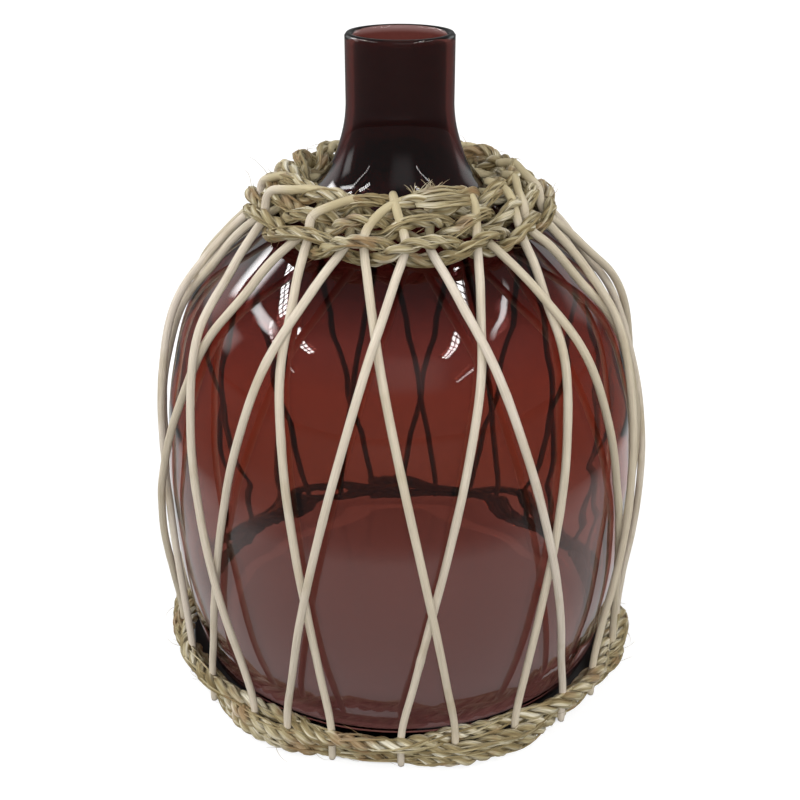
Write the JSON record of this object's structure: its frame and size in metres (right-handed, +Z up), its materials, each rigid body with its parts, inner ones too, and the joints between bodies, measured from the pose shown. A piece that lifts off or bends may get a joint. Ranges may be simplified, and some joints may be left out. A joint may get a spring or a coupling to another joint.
{
  "type": "wicker-wrapped glass vase",
  "caption": "Round glass demijohn vase with a straight neck, in an open slanting cage of willow reeds bound by a twined rope collar and foot ring.",
  "frame": {"origin": "centre of the base at the surface that the vase stands on, under the neck's axis", "axes": "+Z up along the neck's axis, -Y towards the front, +X to the right seen from the front"},
  "size_m": [0.2553, 0.2552, 0.32],
  "materials": {
    "glass": "clear plum-brown glass, glossy",
    "willow": "peeled willow, dry and matt",
    "seagrass": "twisted dry seagrass, matt and frayed"
  },
  "bodies": {
    "root": {"glass_vessel": "glass", "reed_left_01": "willow", "reed_left_02": "willow", "reed_left_03": "willow", "reed_left_04": "willow", "reed_left_05": "willow", "reed_left_06": "willow", "reed_left_07": "willow", "reed_left_08": "willow", "reed_left_09": "willow", "reed_left_10": "willow", "reed_left_11": "willow", "reed_left_12": "willow", "reed_left_13": "willow", "reed_left_14": "willow", "reed_left_15": "willow", "reed_right_01": "willow", "reed_right_02": "willow", "reed_right_03": "willow", "reed_right_04": "willow", "reed_right_05": "willow", "reed_right_06": "willow", "reed_right_07": "willow", "reed_right_08": "willow", "reed_right_09": "willow", "reed_right_10": "willow", "reed_right_11": "willow", "reed_right_12": "willow", "reed_right_13": "willow", "reed_right_14": "willow", "reed_right_15": "willow", "collar_rope_1": "seagrass", "collar_rope_2": "seagrass", "collar_rope_3": "seagrass", "ring_rope_1": "seagrass", "ring_rope_2": "seagrass", "ring_rope_3": "seagrass"}
  },
  "joints": []
}
